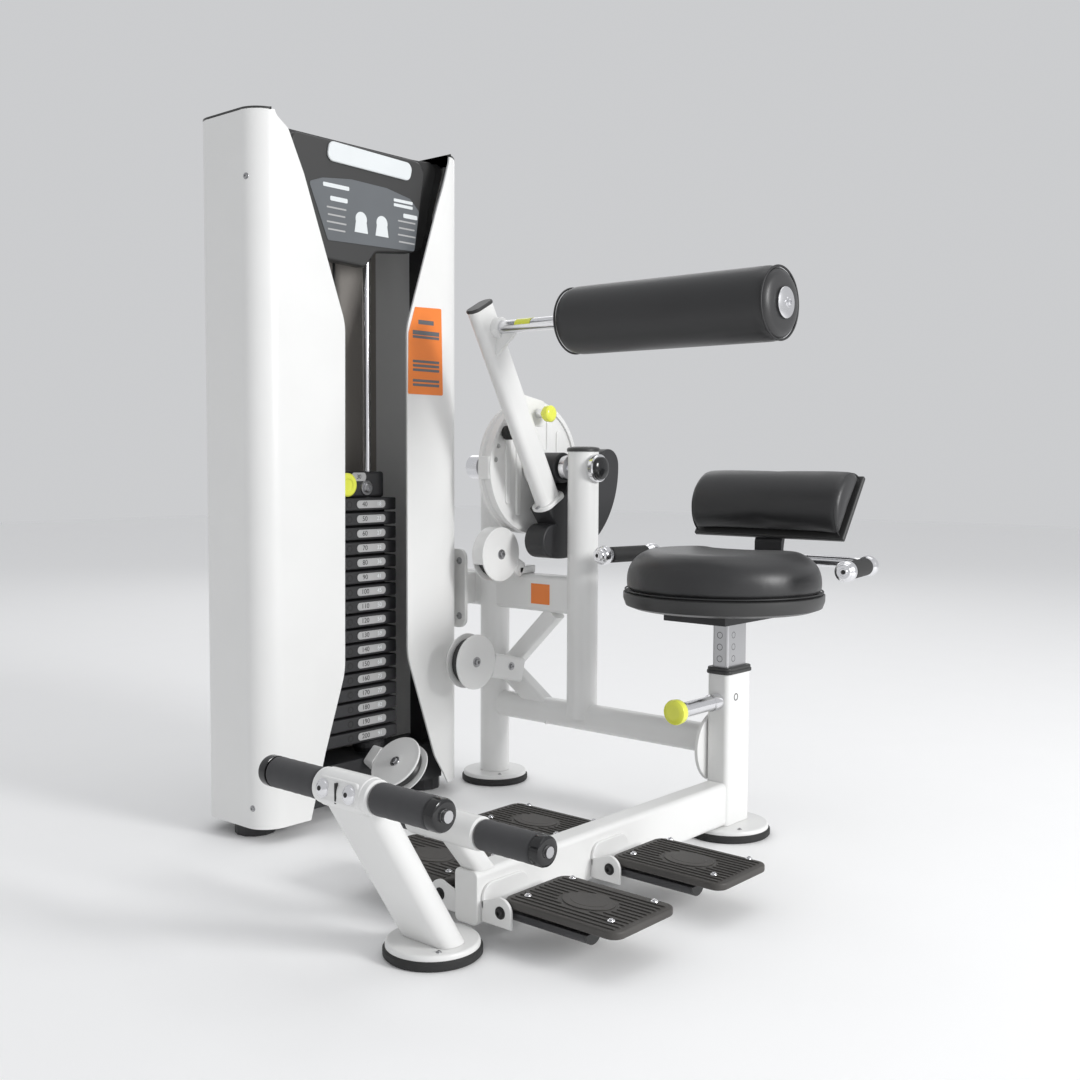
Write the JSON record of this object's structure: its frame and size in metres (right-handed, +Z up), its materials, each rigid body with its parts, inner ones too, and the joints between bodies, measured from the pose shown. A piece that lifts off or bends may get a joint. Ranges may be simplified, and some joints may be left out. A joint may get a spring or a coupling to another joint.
{
  "type": "seated torso flexion machine",
  "caption": "Seated torso flexion gym machine with chest roll on a pivoting arm, cam, cable pulleys, seat and shrouded weight stack tower.",
  "frame": {"origin": "on the floor at the centre of the seat post's foot", "axes": "+Z up; the user sits facing -Y; +X is the user's left; the weight tower stands on the -X side"},
  "size_m": [1.241, 1.3722, 1.55],
  "materials": {
    "white_paint": "satin",
    "black_plastic": "satin",
    "cast_iron": "matte",
    "vinyl": "satin",
    "foam": "matte",
    "chrome": "gloss",
    "steel": "satin",
    "rubber": "matte",
    "tread": "matte",
    "yellow_plastic": "gloss",
    "grey_panel": "matte"
  },
  "bodies": {
    "frame": {"seat_foot": "rubber", "front_foot": "rubber", "rear_foot": "rubber", "base_beam": "white_paint", "front_post": "white_paint", "foot_bar": "white_paint", "lower_roller_mount": "white_paint", "foot_plate_front_left": "tread", "foot_plate_front_right": "tread", "foot_plate_rear_left": "tread", "foot_plate_rear_right": "tread", "seat_post": "white_paint", "lower_crossbar": "white_paint", "pivot_post": "white_paint", "rear_post": "white_paint", "upper_crossbar": "white_paint", "tower_mount": "white_paint", "brace": "white_paint", "strut": "white_paint", "shroud_front": "white_paint", "shroud_rear": "white_paint", "tower_frame": "cast_iron", "guide_rod_1": "chrome", "guide_rod_2": "chrome", "weight_stack": "cast_iron", "header": "black_plastic", "back_panel": "grey_panel", "top_pulley": "black_plastic", "upper_pulley_housing": "white_paint", "lower_pulley_housing": "white_paint", "tower_pulley_housing": "white_paint"},
    "cam_unit": {"cam": "white_paint", "pivot_shaft": "chrome", "cam_bumper": "rubber"},
    "arm_unit": {"arm": "white_paint", "counterweight": "cast_iron"},
    "arm_knob": {"arm_knob": "yellow_plastic"},
    "chest_roll": {"roll_pad": "vinyl"},
    "head": {"head_plate": "cast_iron", "lanyard": "rubber", "lift_cable": "rubber"},
    "pin": {"selector_pin": "yellow_plastic"},
    "seat": {"seat_tube": "steel", "seat_board": "black_plastic", "seat_pad": "vinyl", "lumbar_board": "black_plastic", "lumbar_pad": "vinyl", "seat_frame": "white_paint", "handle_frame": "chrome", "grip_left": "rubber", "grip_right": "rubber"},
    "seat_knob": {"seat_knob": "yellow_plastic"},
    "upper_wheel": {"upper_pulley_wheel": "black_plastic"},
    "lower_wheel": {"lower_pulley_wheel": "black_plastic"},
    "tower_wheel": {"tower_pulley_wheel": "black_plastic"},
    "foot_roller_left": {"foot_roller_left": "foam"},
    "foot_roller_right": {"foot_roller_right": "foam"},
    "lower_roller_left": {"lower_roller_left": "foam"},
    "lower_roller_right": {"lower_roller_right": "foam"}
  },
  "joints": [
    {"name": "cam_swing", "type": "hinge", "parent": "frame", "child": "cam_unit", "pos_m": [-0.59, 0, 0.806], "axis": [1, 0, 0], "range_deg": [0, 70]},
    {"name": "arm_adjust", "type": "hinge", "parent": "cam_unit", "child": "arm_unit", "pos_m": [-0.495, 0, 0.806], "axis": [1, 0, 0], "range_deg": [-20, 10]},
    {"name": "arm_knob_pull", "type": "slide", "parent": "arm_unit", "child": "arm_knob", "axis": [1, 0, 0], "range_m": [0, 0.012], "stiffness_N_per_m": 400},
    {"name": "roll_spin", "type": "hinge", "parent": "arm_unit", "child": "chest_roll", "pos_m": [0, -0.24, 1.124], "axis": [1, 0, 0], "continuous": true},
    {"name": "weight_lift", "type": "slide", "parent": "frame", "child": "head", "axis": [0, 0, 1], "range_m": [0, 0.215], "deforming": ["lift_cable"]},
    {"name": "pin_pull", "type": "slide", "parent": "head", "child": "pin", "axis": [1, 0, 0], "range_m": [0, 0.05]},
    {"name": "seat_slide", "type": "slide", "parent": "frame", "child": "seat", "axis": [0, 0, 1], "range_m": [-0.09, 0.1]},
    {"name": "seat_knob_pull", "type": "slide", "parent": "frame", "child": "seat_knob", "axis": [0, -1, 0], "range_m": [0, 0.012], "stiffness_N_per_m": 400},
    {"name": "upper_wheel_spin", "type": "hinge", "parent": "frame", "child": "upper_wheel", "pos_m": [-0.6, -0.111, 0.595], "axis": [1, 0, 0], "range_deg": [-230, 0]},
    {"name": "lower_wheel_spin", "type": "hinge", "parent": "frame", "child": "lower_wheel", "pos_m": [-0.6, -0.198, 0.341], "axis": [1, 0, 0], "range_deg": [0, 230]},
    {"name": "tower_wheel_spin", "type": "hinge", "parent": "frame", "child": "tower_wheel", "pos_m": [-0.63, -0.405, 0.12], "axis": [0, -0.7363, 0.6766], "range_deg": [0, 230]},
    {"name": "foot_roller_left_spin", "type": "hinge", "parent": "frame", "child": "foot_roller_left", "pos_m": [0.12, -1.09, 0.31], "axis": [1, 0, 0], "continuous": true},
    {"name": "foot_roller_right_spin", "type": "hinge", "parent": "frame", "child": "foot_roller_right", "pos_m": [-0.12, -1.09, 0.31], "axis": [1, 0, 0], "continuous": true},
    {"name": "lower_roller_left_spin", "type": "hinge", "parent": "frame", "child": "lower_roller_left", "pos_m": [0.12, -0.878, 0.21], "axis": [1, 0, 0], "continuous": true},
    {"name": "lower_roller_right_spin", "type": "hinge", "parent": "frame", "child": "lower_roller_right", "pos_m": [-0.12, -0.878, 0.21], "axis": [1, 0, 0], "continuous": true}
  ],
  "couplings": [
    {"joint": "weight_lift", "follows": "cam_swing", "m_per_rad": 0.168},
    {"joint": "upper_wheel_spin", "follows": "cam_swing", "ratio": -3.1402},
    {"joint": "lower_wheel_spin", "follows": "cam_swing", "ratio": 3.1402},
    {"joint": "tower_wheel_spin", "follows": "cam_swing", "ratio": 3.1402}
  ]
}
